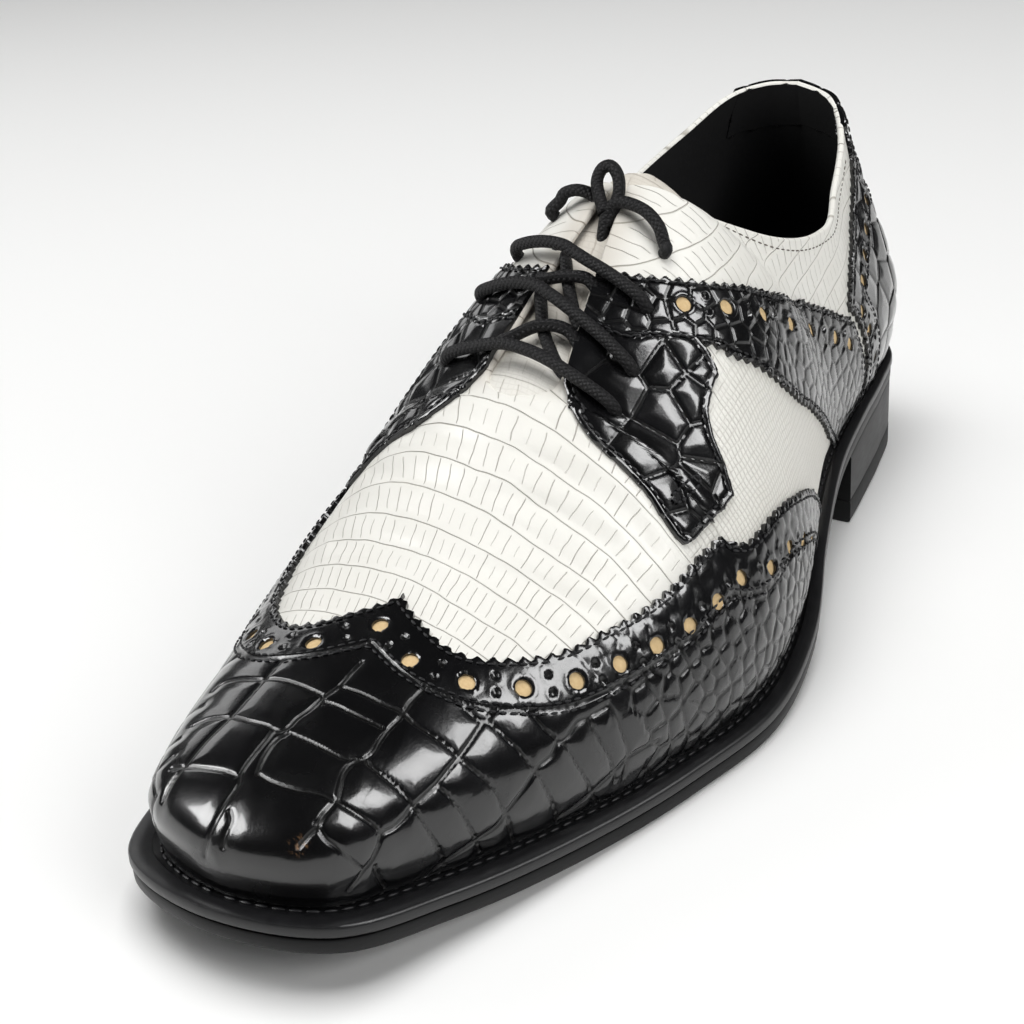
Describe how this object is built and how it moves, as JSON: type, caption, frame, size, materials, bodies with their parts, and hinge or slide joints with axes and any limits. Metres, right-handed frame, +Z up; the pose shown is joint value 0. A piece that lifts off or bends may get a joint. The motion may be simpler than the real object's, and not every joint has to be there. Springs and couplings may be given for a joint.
{
  "type": "wingtip derby shoe",
  "caption": "Left two-colour wingtip derby shoe with open lacing, brogued overlays, all-round stitched welt and a low stacked heel, standing empty on its sole.",
  "frame": {"origin": "middle of the shoe's outline on the floor it stands on", "axes": "+Z up, the toe points to -Y and the heel to +Y, +X is the wearer's left, the outer side of this left shoe"},
  "size_m": [0.1181, 0.3111, 0.1194],
  "materials": {
    "white_leather": "satin, embossed with rows of small reptile scales",
    "black_leather": "glossy, embossed with crocodile scales",
    "lining": "matt black",
    "welt": "satin black, stitched",
    "sole_edge": "brushed satin black edge dressing",
    "top_lift": "matt black",
    "lace": "waxed round braid"
  },
  "bodies": {
    "root": {"outsole": "sole_edge", "welt": "welt", "insole": "lining", "heel_stack": "sole_edge", "heel_lift": "top_lift", "upper": "white_leather", "tongue": "white_leather", "wingtip": "black_leather", "lace_stay_lateral": "black_leather", "lace_stay_medial": "black_leather", "saddle_strip_lateral": "black_leather", "saddle_strip_medial": "black_leather", "heel_counter": "black_leather", "collar_tab": "black_leather", "laces": "lace", "lace_end_lateral": "lace", "lace_end_medial": "lace"}
  },
  "joints": []
}
